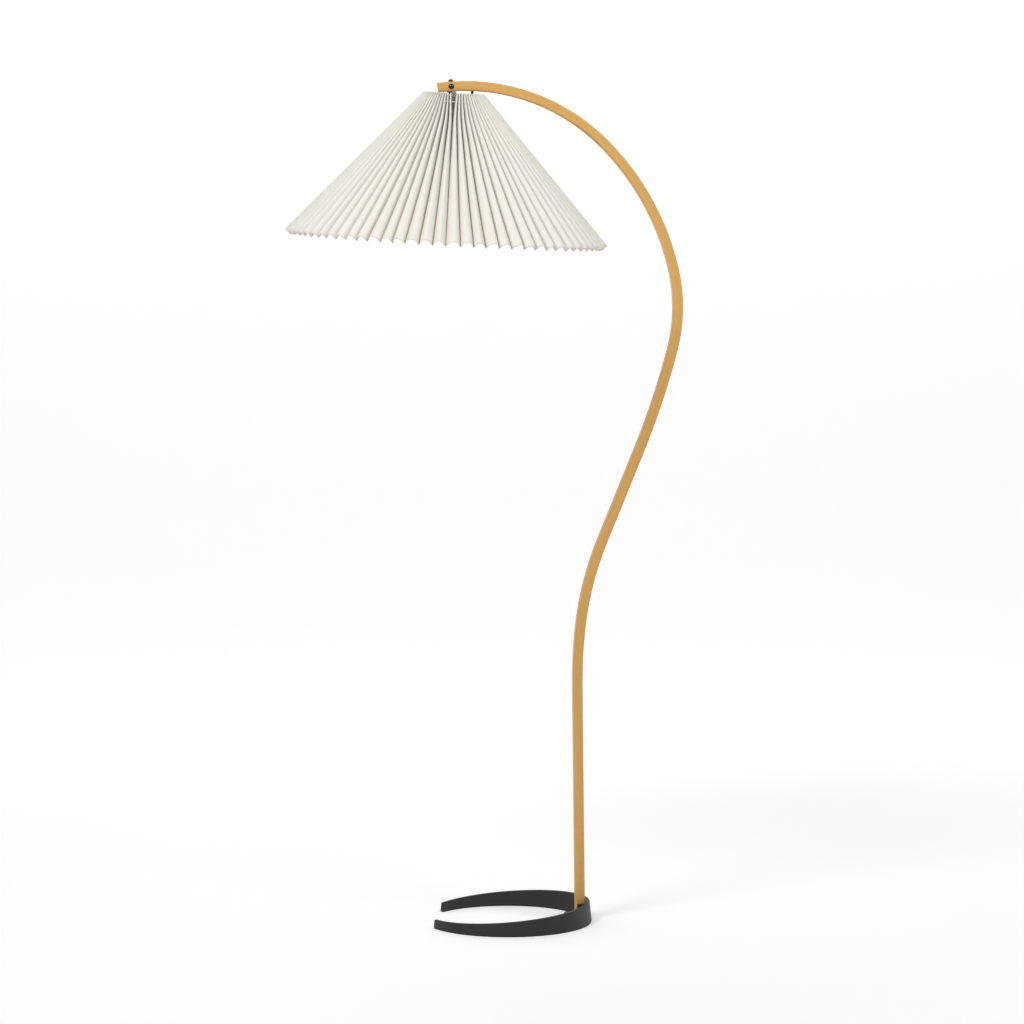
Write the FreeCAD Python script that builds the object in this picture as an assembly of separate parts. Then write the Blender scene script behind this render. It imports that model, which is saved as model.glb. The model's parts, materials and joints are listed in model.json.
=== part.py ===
import FreeCAD, Part
import math
import os
from FreeCAD import Vector

# Arc floor lamp: a crescent cast base, a bent wooden stem, and a pleated shade that
# hangs from a clamped hinge at the end of the arm.
# Millimetres, +Z up. The origin is on the floor, under the foot of the stem. The stem
# bends in the XZ plane, and the shade hangs over -X.

# Stem: one lath, bent in its own plane. Headings and turns are in degrees, and a
# positive turn is to the left of someone who walks up the stem.
STEM_THICK = 18.0
STEM_WIDTH = 30.0
STEM_EDGE_R = 3.5
STEM_FOOT_X = 1.8
STEM_LEAN = 0.7
POST_RUN = 436.0
LOW_BEND = ("arc", 940.0, -6.4)
KNEE_BEND = ("arc", 610.0, -16.35)
MIDDLE_RUN = ("line", 180.5)
EASE_BEND = ("arc", 1500.0, 7.45)
HIP_BEND = ("arc", 312.5, 27.75)
SHOULDER_BEND = ("arc", 482.0, 31.8)
CROWN_BEND = ("arc", 362.0, 48.55)
ARM_END_RUN = 30.0
STEM_PATH = [
    ("line", POST_RUN),
    LOW_BEND,
    KNEE_BEND,
    MIDDLE_RUN,
    EASE_BEND,
    HIP_BEND,
    SHOULDER_BEND,
    CROWN_BEND,
    ("line", ARM_END_RUN),
]
TIP_FALL = 0.8  # how far the top of the arm drops towards its end
TIP_FALL_RUN = 19.0
TIP_RAKE = 1.8  # the end face leans back by this much at the bottom

# Groove for the lead, on the inner side of the stem, closed by a glued strip
GROOVE_WIDTH = 6.0
GROOVE_DEPTH = 10.0
STRIP_THICK = 4.4
STRIP_GAP = 0.05
STRIP_START = 40.0  # from the foot
LEAD_DIA = 5.0
LEAD_SEAT_GAP = 0.2  # between the lead and the groove's floor
LEAD_BEND_AT = 73.0  # where the lead turns down, from the arm's end
LEAD_EXIT_R = 8.0
LEAD_FOOT_R = 14.0
LEAD_RUN_IN = 1.0  # straight lead between the boss and the bend at the foot
LEAD_JOINT = 0.1  # gap between the lead's end and the next piece
FLEX_R = 21.0  # bends of the free flex between the arm and the lampholder

# Base: a crescent that is open on the shade's side, with a socket in its closed end
BASE_R = 156.5
BASE_DRAFT = 6.3  # degrees that the outer wall leans inwards
BASE_OPEN_HALF = 31.0  # half of the opening between the tips
BASE_OPEN_TURN = 7.5  # the opening is turned this far off the stem's plane, towards +Y
WALL_BACK = 13.0
WALL_TIP = 8.0
TIP_HEIGHT = 17.0
BACK_HEIGHT = 39.5
BASE_EDGE_R = 1.2
SOLE_THICK = 2.0
SOLE_INSET = 1.0
PAD_THICK = 4.0
CHEEK_THICK = 7.0
CHEEK_SHORT = 2.6  # the cheeks stop this far behind the stem's front
CHEEK_LOW = 4.5  # and this far below the top of the wall
SOCKET_GAP = 0.15
SOCKET_BACK_GAP = 0.2
BOSS_LENGTH = 11.0
BOSS_WIDTH = 16.0
BOSS_HEIGHT = 13.5
INLET_Z = 9.0
GROMMET_R = 4.5
GROMMET_FLANGE_R = 5.8
GROMMET_FLANGE = 1.5
GROMMET_BORE_R = 2.6

# Foot screws, through the closed end of the base into inserts in the stem
SCREW_R = 2.5
SCREW_HEAD_R = 4.75
SCREW_HEAD = 2.6
SCREW_LEVELS = (13.0, 27.0)
SCREW_HOLE_GAP = 0.1
SCREW_SINK = 9.0  # how deep the head's seat is below the widest part of the wall
INSERT_R = 3.5
INSERT_LENGTH = 6.0

# Clamped hinge at the end of the arm
PIVOT_BACK = 25.2  # from the arm's end
BOLT_R = 3.0
BOLT_FIT = 0.075
BOLT_HEAD_R = 5.3
BOLT_HEAD = 3.2
BOLT_NECK = 6.0
BOLT_NECK_DEPTH = 3.0
BOLT_PAST_ARM = 12.5
WASHER_R = 8.0
WASHER_THICK = 1.2
TURN_GAP = 0.3
KNOB_HUB_R = 7.5
KNOB_LOBE_R = 4.6
KNOB_REACH = 9.2
KNOB_THICK = 12.0
KNOB_TURN = -6.0
KNOB_EDGE_R = 1.2
KNOB_INSERT_R = 4.8
KNOB_INSERT_LENGTH = 9.0
TONGUE_THICK = 3.0
TONGUE_GAP = 0.3
TONGUE_EYE_R = 7.5
TONGUE_NECK = 6.4
TONGUE_IN_TUBE = 13.0
SLOT_PAST_PIVOT = 12.0

# Head: its own axis leans, and hangs a little off the bolt. Drops are measured down
# that axis from the level of the bolt.
HEAD_TILT = 3.15
HEAD_OFFSET = 6.2
TUBE_R = 5.0
TUBE_BORE_R = 3.6
TUBE_BELOW_ARM = 1.5
TUBE_LENGTH = 50.0
THREAD_GAP = 0.05
NUT_FLATS = 14.0
NUT_THICK = 3.0

# Lampholder for a 27 mm screw cap
CAP_TOP = 49.0
CAP_NECK_R = 7.0
CAP_NECK = 5.0
CAP_LENGTH = 22.0
CAP_R = 19.5
CAP_CORNER_R = 2.5
CAP_WALL = 2.2
BUSH_REACH = 12.3  # from the head's axis
BUSH_R = 3.9
BUSH_FLANGE_R = 4.8
BUSH_STAND = 4.0
BUSH_BORE_R = 2.6
HOLDER_R = 19.0
HOLDER_BORE_R = 16.6
HOLDER_TOP_LENGTH = 3.0
SHOULDER_R = 23.0
SHOULDER_THICK = 3.0
HOLDER_THREAD = 33.0
BLOCK_THICK = 9.0
SHELL_R = 14.2
SHELL_THICK = 0.5
SHELL_LENGTH = 20.0
CONTACT_R = 4.0
CONTACT_THICK = 1.5

# Shade: pleated cloth on a wire carrier, held by a ring nut on the lampholder
SHADE_BELOW_ARM = 2.0
SHADE_HEIGHT = 265.0
SHADE_TOP_R = 55.5
SHADE_BOTTOM_R = 297.0
PLEAT_TOP = 17.5
PLEAT_BOTTOM = 13.5
GALLERY_R = 30.0
GALLERY_THICK = 1.5
GALLERY_GAP = 0.3
SPOKE_R = 1.5
SPOKES = 3
WIRE_R = 2.0
SHADE_CLEAR = 0.3
STRING_R = 0.9
STRING_BELOW_RIM = 17.0
RING_NUT_R = 26.0
RING_NUT_FIT = 0.1
RING_NUT_THICK = 8.0
RING_NUT_NOTCHES = 16
NOTCH_R = 1.6

# Bulb
BULB_CAP_R = 13.2
BULB_CAP_LENGTH = 23.0
BULB_CAP_WALL = 0.6
BULB_SEAT = 1.0  # between the bulb's contact and the holder's
BULB_NUB_R = 4.5
BULB_NUB = 3.0
BULB_NECK_R = 14.4
BULB_NECK = 7.0
BULB_R = 30.0
BULB_LENGTH = 106.0
BULB_WALL = 1.2

# Places that follow from the sizes above
LEAD_SIDE = STEM_THICK / 2.0 - GROOVE_DEPTH + LEAD_DIA / 2.0 + LEAD_SEAT_GAP
BASE_BACK_X = STEM_FOOT_X + STEM_THICK / 2.0 + SOCKET_BACK_GAP + WALL_BACK
BASE_CENTRE_X = BASE_BACK_X - BASE_R
CHEEK_FRONT_X = STEM_FOOT_X - STEM_THICK / 2.0 + CHEEK_SHORT
BOSS_INNER_X = STEM_FOOT_X - LEAD_SIDE - LEAD_FOOT_R - LEAD_RUN_IN - LEAD_JOINT
BOSS_OUTER_X = BOSS_INNER_X - BOSS_LENGTH
TUBE_TOP = STEM_THICK / 2.0 + TUBE_BELOW_ARM
SHADE_DROP = STEM_THICK / 2.0 + SHADE_BELOW_ARM

UP = Vector(0, 0, 1)
ACROSS = Vector(0, 1, 0)


# ---- plane geometry: a path is a list of straight runs and tangent bends in XZ

def travel(point, heading, distance):
    angle = math.radians(heading)
    return (point[0] + distance * math.cos(angle), point[1] + distance * math.sin(angle))


def beside(point, heading, side):
    return travel(point, heading + 90.0, side)


def in_space(point):
    return Vector(point[0], 0, point[1])


def run_length(segment):
    if segment[0] == "line":
        return segment[1]
    return segment[1] * math.radians(abs(segment[2]))


def path_length(segments):
    return sum(run_length(s) for s in segments)


def advance(point, heading, segment):
    if segment[0] == "line":
        return travel(point, heading, segment[1]), heading
    radius, turn = segment[1], segment[2]
    centre = beside(point, heading, math.copysign(radius, turn))
    return beside(centre, heading + turn, -math.copysign(radius, turn)), heading + turn


def shortened(segment, amount):
    if segment[0] == "line":
        return ("line", amount)
    return ("arc", segment[1], math.copysign(math.degrees(amount / segment[1]), segment[2]))


def stretch(segments, point, heading, first, last):
    """The part of a path between two distances along it: start, heading, segments."""
    found, along = [], 0.0
    start = None
    for segment in segments:
        length = run_length(segment)
        low, high = max(first, along), min(last, along + length)
        if high - low > 1e-6:
            if start is None:
                start = advance(point, heading, shortened(segment, low - along))
            found.append(shortened(segment, high - low))
        point, heading = advance(point, heading, segment)
        along += length
    return start[0], start[1], found


def path_edges(segments, point, heading, side=0.0):
    """The path's edges, moved sideways, and where the path itself ends."""
    edges = []
    for segment in segments:
        ahead, new_heading = advance(point, heading, segment)
        a = in_space(beside(point, heading, side))
        b = in_space(beside(ahead, new_heading, side))
        if segment[0] == "line":
            edges.append(Part.LineSegment(a, b).toShape())
        else:
            half = ("arc", segment[1], segment[2] / 2.0)
            middle, middle_heading = advance(point, heading, half)
            m = in_space(beside(middle, middle_heading, side))
            edges.append(Part.Arc(a, m, b).toShape())
        point, heading = ahead, new_heading
    return edges, point, heading


STEM_START = (STEM_FOOT_X, SOLE_THICK + PAD_THICK)
STEM_HEADING = 90.0 + STEM_LEAN
STEM_LENGTH = path_length(STEM_PATH)


def stem_stretch(first, last):
    return stretch(STEM_PATH, STEM_START, STEM_HEADING, first, last)


def stem_place(distance):
    """Point and heading on the stem's centreline."""
    start, heading, segments = stem_stretch(0.0, distance)
    _, point, heading = path_edges(segments, start, heading)
    return point, heading


def band(first, last, left, right, width):
    """A slab along the stem, between two sideways distances from its centreline."""
    start, heading, segments = stem_stretch(first, last)
    one, _, _ = path_edges(segments, start, heading, left)
    other, _, _ = path_edges(segments, start, heading, right)
    foot = Part.LineSegment(one[0].Vertexes[0].Point, other[0].Vertexes[0].Point)
    end = Part.LineSegment(one[-1].Vertexes[-1].Point, other[-1].Vertexes[-1].Point)
    edges = one + other + [foot.toShape(), end.toShape()]
    face = Part.Face(Part.Wire(Part.__sortEdges__(edges)))
    face.translate(Vector(0, -width / 2.0, 0))
    return face.extrude(Vector(0, width, 0))


def tube_along(edges, radius):
    wire = Part.Wire(edges)
    first = wire.Edges[0]
    direction = first.tangentAt(first.FirstParameter)
    circle = Part.makeCircle(radius, first.valueAt(first.FirstParameter), direction)
    return wire.makePipeShell([Part.Wire(circle)], True, True)


# ---- small solids

def rod_y(radius, low, high, x=0.0, z=0.0):
    return Part.makeCylinder(radius, high - low, Vector(x, low, z), ACROSS)


def rod_x(radius, low, high, z=0.0):
    return Part.makeCylinder(radius, high - low, Vector(low, 0, z), Vector(1, 0, 0))


def drum(radius, top, bottom, x=HEAD_OFFSET):
    """A cylinder on the head's axis, between two drops."""
    return Part.makeCylinder(radius, bottom - top, Vector(x, 0, -bottom), UP)


def ring(outer, inner, top, bottom):
    return drum(outer, top, bottom).cut(drum(inner, top - 1.0, bottom + 1.0))


def block(x, y, z):
    size = Vector(x[1] - x[0], y[1] - y[0], z[1] - z[0])
    return Part.makeBox(size.x, size.y, size.z, Vector(x[0], y[0], z[0]))


def turned(points):
    """A solid turned about the head's axis from (radius, drop) points."""
    corners = [Vector(HEAD_OFFSET + r, 0, -drop) for r, drop in points]
    face = Part.Face(Part.makePolygon(corners + corners[:1]))
    return face.revolve(Vector(HEAD_OFFSET, 0, 0), UP, 360)


# ---- frames

PIVOT, ARM_HEADING = stem_place(STEM_LENGTH - PIVOT_BACK)


def hung(shape):
    """Takes a piece from the head's own frame to the lamp's."""
    shape.rotate(Vector(0, 0, 0), ACROSS, HEAD_TILT)
    shape.translate(in_space(PIVOT))
    return shape


def at_pivot(shape):
    shape.translate(in_space(PIVOT))
    return shape


def save(name, shape):
    shape.exportStep("parts/" + name + ".step")
    print(name, "solids", len(shape.Solids), "volume", round(shape.Volume, 1), shape.isValid())


# ---- base

def inner_radius():
    """Radius and centre of the inner wall, from the wall at the back and at the tips."""
    spread = 1.0 + math.cos(math.radians(BASE_OPEN_HALF))
    shift = (WALL_TIP - WALL_BACK) / spread
    return BASE_R - WALL_BACK - shift, BASE_CENTRE_X + shift


def opening_wedge(height, inset=0.0):
    reach = 2.0 * BASE_R
    half = math.radians(BASE_OPEN_HALF)
    side = inset / math.sin(half)
    tip = Vector(BASE_CENTRE_X + side, 0, 0)
    far_x = tip.x - reach * math.cos(half)
    far_y = reach * math.sin(half)
    corners = [tip, Vector(far_x, far_y, 0), Vector(far_x, -far_y, 0), tip]
    wedge = Part.Face(Part.makePolygon(corners)).extrude(Vector(0, 0, height))
    wedge.rotate(Vector(BASE_CENTRE_X, 0, 0), UP, -BASE_OPEN_TURN)
    return wedge


def base_top_cut(lower=0.0):
    """Everything above the sloping top of the base, or above a lower slope."""
    tip_x = BASE_CENTRE_X - BASE_R * math.cos(math.radians(BASE_OPEN_HALF))
    slope = (BACK_HEIGHT - TIP_HEIGHT) / (BASE_BACK_X - tip_x)
    past = 60.0
    low, high = tip_x - past, BASE_BACK_X + past
    corners = [
        Vector(low, 0, TIP_HEIGHT - slope * past - lower),
        Vector(high, 0, BACK_HEIGHT + slope * past - lower),
        Vector(high, 0, 3.0 * BACK_HEIGHT),
        Vector(low, 0, 3.0 * BACK_HEIGHT),
    ]
    face = Part.Face(Part.makePolygon(corners + corners[:1]))
    face.translate(Vector(0, -2.0 * BASE_R, 0))
    return face.extrude(Vector(0, 4.0 * BASE_R, 0))


def crescent():
    height = 1.5 * BACK_HEIGHT
    lean = height * math.tan(math.radians(BASE_DRAFT))
    outer = Part.makeCone(BASE_R, BASE_R - lean, height, Vector(BASE_CENTRE_X, 0, 0), UP)
    radius, centre = inner_radius()
    inner = Part.makeCylinder(radius, height, Vector(centre, 0, 0), UP)
    shape = outer.cut(inner).cut(opening_wedge(height)).cut(base_top_cut())
    under = block((-400, 100), (-200, 200), (-1, SOLE_THICK))
    shape = shape.cut(under).Solids[0]
    rounded = [e for e in shape.Edges if e.BoundBox.ZMax > SOLE_THICK + 1.0]
    return shape.makeFillet(BASE_EDGE_R, rounded)


def socket_parts():
    """Floor pad, two cheeks either side of the stem, and the boss of the inlet."""
    half = STEM_WIDTH / 2.0 + SOCKET_GAP
    outside = half + CHEEK_THICK
    back = BASE_BACK_X - WALL_BACK + 2.0
    floor = SOLE_THICK + PAD_THICK
    pad = block((BOSS_OUTER_X, back), (-outside, outside), (SOLE_THICK, floor))
    cheeks = [
        block((CHEEK_FRONT_X, back), (half, outside), (SOLE_THICK, BACK_HEIGHT)),
        block((CHEEK_FRONT_X, back), (-outside, -half), (SOLE_THICK, BACK_HEIGHT)),
    ]
    inlet = block(
        (BOSS_OUTER_X, BOSS_INNER_X),
        (-BOSS_WIDTH / 2.0, BOSS_WIDTH / 2.0),
        (SOLE_THICK, SOLE_THICK + BOSS_HEIGHT),
    )
    corners = [e for e in inlet.Edges if e.BoundBox.ZMin > SOLE_THICK + 1.0]
    cheeks = [c.cut(base_top_cut(CHEEK_LOW)) for c in cheeks]
    return [pad, inlet.makeFillet(2.0, corners)] + cheeks


def base_casting():
    shape = crescent().multiFuse(socket_parts()).removeSplitter()
    shape = shape.cut(rod_x(GROMMET_R, BOSS_OUTER_X - 5, BOSS_INNER_X + 5, INLET_Z))
    shape = shape.cut(stem_envelope())
    back = BASE_BACK_X
    for level in SCREW_LEVELS:
        shape = shape.cut(rod_x(SCREW_R + SCREW_HOLE_GAP, STEM_FOOT_X, back + 10, level))
        shape = shape.cut(rod_x(SCREW_HEAD_R + SCREW_HOLE_GAP, back - SCREW_SINK, back + 10, level))
    return shape


def base_sole():
    radius, centre = inner_radius()
    outer_r = BASE_R - SOLE_INSET - SOLE_THICK * math.tan(math.radians(BASE_DRAFT))
    outer = Part.makeCylinder(outer_r, SOLE_THICK, Vector(BASE_CENTRE_X, 0, 0), UP)
    inner = Part.makeCylinder(radius + SOLE_INSET, SOLE_THICK, Vector(centre, 0, 0), UP)
    half = STEM_WIDTH / 2.0 + SOCKET_GAP + CHEEK_THICK - SOLE_INSET
    back = BASE_BACK_X - WALL_BACK + 4.0
    pad = block((BOSS_OUTER_X + SOLE_INSET, back), (-half, half), (0, SOLE_THICK))
    sole = outer.cut(inner).cut(opening_wedge(SOLE_THICK, SOLE_INSET))
    return sole.fuse(pad).removeSplitter()


def foot_screws():
    """Two button-headed screws from the back of the base into the stem."""
    screws = []
    seat = BASE_BACK_X - SCREW_SINK
    tip = insert_start()
    for level in SCREW_LEVELS:
        head = rod_x(SCREW_HEAD_R, seat, seat + SCREW_HEAD, level)
        rim = [e for e in head.Edges if e.BoundBox.XMin > seat + 1.0]
        head = head.makeFillet(1.6, rim)
        socket = rod_x(1.5, seat + 1.0, seat + SCREW_HEAD + 1.0, level)
        screws.append(head.fuse(rod_x(SCREW_R, tip, seat, level)).cut(socket))
    return Part.makeCompound(screws)


def insert_start():
    return STEM_FOOT_X + STEM_THICK / 2.0 - INSERT_LENGTH - 0.8


def foot_inserts():
    start = insert_start()
    rings = []
    for level in SCREW_LEVELS:
        outside = rod_x(INSERT_R, start, start + INSERT_LENGTH, level)
        rings.append(outside.cut(rod_x(SCREW_R, start - 1, start + INSERT_LENGTH + 1, level)))
    return Part.makeCompound(rings)


def inlet_grommet():
    """Rubber bush in the boss, flanged outside, where the mains lead comes in."""
    bush = rod_x(GROMMET_R, BOSS_OUTER_X, BOSS_INNER_X, INLET_Z)
    flange = rod_x(GROMMET_FLANGE_R, BOSS_OUTER_X - GROMMET_FLANGE, BOSS_OUTER_X, INLET_Z)
    bore = rod_x(GROMMET_BORE_R, BOSS_OUTER_X - 10, BOSS_INNER_X + 10, INLET_Z)
    return bush.fuse(flange).removeSplitter().cut(bore)


# ---- stem

def stem_envelope():
    return band(0.0, STEM_LENGTH, STEM_THICK / 2.0, -STEM_THICK / 2.0, STEM_WIDTH)


def arm_tip_cut():
    """What is taken off the end of the arm: a falling top and a raked end face."""
    end, heading = stem_place(STEM_LENGTH)
    top = -STEM_THICK / 2.0
    back = travel(end, heading, -TIP_FALL_RUN)
    corners = [
        beside(back, heading, top),
        beside(end, heading, top + TIP_FALL),
        beside(travel(end, heading, -TIP_RAKE), heading, -top),
        beside(travel(end, heading, -TIP_RAKE), heading, -2.0 * top),
        beside(travel(end, heading, 10.0), heading, -2.0 * top),
        beside(travel(end, heading, 10.0), heading, 2.0 * top),
        beside(back, heading, 2.0 * top),
    ]
    points = [in_space(c) for c in corners]
    face = Part.Face(Part.makePolygon(points + points[:1]))
    face.translate(Vector(0, -STEM_WIDTH, 0))
    return face.extrude(Vector(0, 2.0 * STEM_WIDTH, 0))


def groove_end():
    return STEM_LENGTH - LEAD_BEND_AT + LEAD_EXIT_R + LEAD_DIA / 2.0 + 0.4


def stem():
    shape = stem_envelope()
    long_edges = [
        e for e in shape.Edges if e.BoundBox.YLength < 1e-6 and e.Length > STEM_THICK + 1.0
    ]
    shape = shape.makeFillet(STEM_EDGE_R, long_edges).cut(arm_tip_cut())
    half = STEM_THICK / 2.0
    shape = shape.cut(band(0.0, groove_end(), half + 1.0, half - GROOVE_DEPTH, GROOVE_WIDTH))
    slot_start = STEM_LENGTH - PIVOT_BACK - SLOT_PAST_PIVOT
    slot_width = TONGUE_THICK + 2.0 * TONGUE_GAP
    shape = shape.cut(band(slot_start, STEM_LENGTH, half + 1.0, -half - 1.0, slot_width))
    shape = shape.cut(at_pivot(rod_y(BOLT_R + BOLT_FIT, -STEM_WIDTH, STEM_WIDTH)))
    shape = shape.cut(at_pivot(bolt_neck()))
    start = insert_start()
    for level in SCREW_LEVELS:
        shape = shape.cut(rod_x(INSERT_R, start, STEM_FOOT_X + STEM_THICK, level))
    return shape


def groove_strip():
    """The strip that closes the groove, flush with the stem's inner side."""
    half = STEM_THICK / 2.0
    last = STEM_LENGTH - LEAD_BEND_AT - 2.0
    width = GROOVE_WIDTH - 2.0 * STRIP_GAP
    return band(STRIP_START, last, half, half - STRIP_THICK, width)


def lead_route():
    """The lead's edges from the inlet to where it leaves the arm, and its end."""
    side = LEAD_SIDE
    lean = math.radians(STEM_LEAN)
    joint_x = BOSS_INNER_X + LEAD_JOINT
    foot = beside(STEM_START, STEM_HEADING, side)
    bend_top = INLET_Z + LEAD_FOOT_R * (1.0 + math.sin(lean))
    rise = (bend_top - foot[1]) / math.cos(lean)
    column_x = travel(foot, STEM_HEADING, rise)[0]
    into = column_x - joint_x - LEAD_FOOT_R * math.cos(lean)
    entry = [("line", into), ("arc", LEAD_FOOT_R, STEM_HEADING)]
    first, point, heading = path_edges(entry, (joint_x, INLET_Z), 0.0)
    start, heading, segments = stem_stretch(rise, STEM_LENGTH - LEAD_BEND_AT)
    middle, point, heading = path_edges(segments, start, heading, side)
    bend_start = beside(point, heading, side)
    down = 270.0 - HEAD_TILT
    exit_bend = [("arc", LEAD_EXIT_R, down - heading)]
    last, point, heading = path_edges(exit_bend, bend_start, heading)
    return first, middle, last, point


def stem_lead():
    first, middle, last, _ = lead_route()
    print("lead: bend radius", LEAD_FOOT_R, "at the foot and", LEAD_EXIT_R, "at the arm")
    return tube_along(first + middle + last, LEAD_DIA / 2.0)


# ---- clamp at the arm's end, in a frame with its origin at the pivot

def bolt_neck():
    half = BOLT_NECK / 2.0
    face = -STEM_WIDTH / 2.0
    neck = block((-half, half), (face, face + BOLT_NECK_DEPTH), (-half, half))
    neck.rotate(Vector(0, 0, 0), ACROSS, 90.0 - ARM_HEADING)
    return neck


def clamp_bolt():
    """Cup-headed bolt: domed head, square neck and a plain shank."""
    face = -STEM_WIDTH / 2.0
    ball_r = (BOLT_HEAD_R ** 2 + BOLT_HEAD ** 2) / (2.0 * BOLT_HEAD)
    ball = Part.makeSphere(ball_r, Vector(0, face - BOLT_HEAD + ball_r, 0))
    dome = ball.common(rod_y(2.0 * BOLT_HEAD_R, face - BOLT_HEAD - 1.0, face))
    shank = rod_y(BOLT_R, face, STEM_WIDTH / 2.0 + BOLT_PAST_ARM)
    return dome.multiFuse([bolt_neck(), shank]).removeSplitter()


def clamp_washer():
    near = STEM_WIDTH / 2.0
    disc = rod_y(WASHER_R, near, near + WASHER_THICK)
    return disc.cut(rod_y(BOLT_R + 0.2, near - 1.0, near + WASHER_THICK + 1.0))


def knob_start():
    return STEM_WIDTH / 2.0 + WASHER_THICK + TURN_GAP


def clamp_knob():
    """Two-winged knob, moulded round a threaded insert."""
    near = knob_start()
    far = near + KNOB_THICK
    wings = [rod_y(KNOB_LOBE_R, near, far, 0.0, z) for z in (-KNOB_REACH, KNOB_REACH)]
    bar = block((-KNOB_LOBE_R, KNOB_LOBE_R), (near, far), (-KNOB_REACH, KNOB_REACH))
    shape = rod_y(KNOB_HUB_R, near, far).multiFuse(wings + [bar]).removeSplitter()
    faces = [e for e in shape.Edges if e.BoundBox.YLength < 1e-6]
    shape = shape.makeFillet(KNOB_EDGE_R, faces)
    shape = shape.cut(rod_y(BOLT_R + BOLT_FIT, near - 1.0, far + 1.0))
    shape = shape.cut(rod_y(KNOB_INSERT_R, near - 1.0, near + KNOB_INSERT_LENGTH))
    shape.rotate(Vector(0, 0, 0), ACROSS, -KNOB_TURN)
    return shape


def knob_insert():
    near = knob_start()
    far = near + KNOB_INSERT_LENGTH
    body = rod_y(KNOB_INSERT_R, near, far)
    return body.cut(rod_y(BOLT_R + BOLT_FIT, near - 1.0, far + 1.0))


# ---- hanger and lampholder, in the head's frame

def hanger_tongue():
    """Flat plate in the arm's slot; its neck is brazed into the tube."""
    low = -TONGUE_THICK / 2.0
    high = TONGUE_THICK / 2.0
    half = TONGUE_NECK / 2.0
    reach = TUBE_TOP + TONGUE_IN_TUBE
    eye = rod_y(TONGUE_EYE_R, low, high)
    neck = block((HEAD_OFFSET - half, HEAD_OFFSET + half), (low, high), (-reach, 0.0))
    shape = eye.fuse(neck).removeSplitter()
    return shape.cut(rod_y(BOLT_R + BOLT_FIT, low - 1.0, high + 1.0))


def hanger_tube():
    return ring(TUBE_R, TUBE_BORE_R, TUBE_TOP, TUBE_TOP + TUBE_LENGTH)


def hexagon(flats, top, bottom):
    corner = flats / math.sqrt(3.0)
    points = []
    for i in range(6):
        angle = math.radians(60.0 * i)
        x, y = HEAD_OFFSET + corner * math.cos(angle), corner * math.sin(angle)
        points.append(Vector(x, y, -bottom))
    face = Part.Face(Part.makePolygon(points + points[:1]))
    return face.extrude(Vector(0, 0, bottom - top))


def tube_nuts():
    """Two lock nuts on the tube, one above the holder's cap and one inside it."""
    under = CAP_TOP + CAP_NECK + CAP_WALL
    nuts = []
    for top in (CAP_TOP - NUT_THICK, under):
        nut = hexagon(NUT_FLATS, top, top + NUT_THICK)
        nuts.append(nut.cut(drum(TUBE_R + THREAD_GAP, top - 1.0, top + NUT_THICK + 1.0)))
    return Part.makeCompound(nuts)


def holder_cap():
    """Moulded cap of the lampholder: a neck for the tube over a flat-topped drum."""
    shelf = CAP_TOP + CAP_NECK
    base = CAP_TOP + CAP_LENGTH
    body = drum(CAP_R, shelf, base)
    rim = [e for e in body.Edges if e.BoundBox.ZMin > -shelf - 1.0]
    body = body.makeFillet(CAP_CORNER_R, rim)
    shape = body.fuse(drum(CAP_NECK_R, CAP_TOP, shelf)).removeSplitter()
    shape = shape.cut(drum(CAP_R - CAP_WALL, shelf + CAP_WALL, base + 1.0))
    shape = shape.cut(drum(TUBE_R + THREAD_GAP, CAP_TOP - 1.0, base))
    bush_x = HEAD_OFFSET + BUSH_REACH
    return shape.cut(drum(BUSH_R, shelf - 1.0, shelf + CAP_WALL + 1.0, bush_x))


def bush_top():
    return CAP_TOP + CAP_NECK - BUSH_STAND


def holder_bush():
    """Rubber bush in the cap's shelf, where the flex goes in."""
    shelf = CAP_TOP + CAP_NECK
    x = HEAD_OFFSET + BUSH_REACH
    collar = drum(BUSH_FLANGE_R, shelf - BUSH_STAND, shelf, x)
    rim = [e for e in collar.Edges if e.BoundBox.ZMin > -shelf + 1.0]
    collar = collar.makeFillet(1.2, rim)
    stem_part = drum(BUSH_R, shelf, shelf + CAP_WALL, x)
    bore = drum(BUSH_BORE_R, shelf - 10.0, shelf + 10.0, x)
    return collar.fuse(stem_part).removeSplitter().cut(bore)


HOLDER_TOP = CAP_TOP + CAP_LENGTH
SHOULDER_TOP = HOLDER_TOP + HOLDER_TOP_LENGTH
SHOULDER_BASE = SHOULDER_TOP + SHOULDER_THICK
HOLDER_BASE = SHOULDER_BASE + HOLDER_THREAD


def holder_body():
    """Lower half of the lampholder: a shoulder for the shade above a threaded skirt."""
    shape = drum(CAP_R, HOLDER_TOP, SHOULDER_TOP)
    shape = shape.fuse(drum(SHOULDER_R, SHOULDER_TOP, SHOULDER_BASE))
    shape = shape.fuse(drum(HOLDER_R, SHOULDER_BASE, HOLDER_BASE)).removeSplitter()
    return shape.cut(drum(HOLDER_BORE_R, HOLDER_TOP - 1.0, HOLDER_BASE + 1.0))


BLOCK_TOP = HOLDER_TOP + 2.0
BLOCK_BASE = BLOCK_TOP + BLOCK_THICK


def holder_block():
    """Ceramic block that carries the contacts."""
    return drum(HOLDER_BORE_R - 0.05, BLOCK_TOP, BLOCK_BASE)


def holder_shell():
    """Thin brass screw shell under the block."""
    bore = SHELL_R - SHELL_THICK
    return ring(SHELL_R, bore, BLOCK_BASE, BLOCK_BASE + SHELL_LENGTH)


def holder_contact():
    return drum(CONTACT_R, BLOCK_BASE, BLOCK_BASE + CONTACT_THICK)


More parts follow.
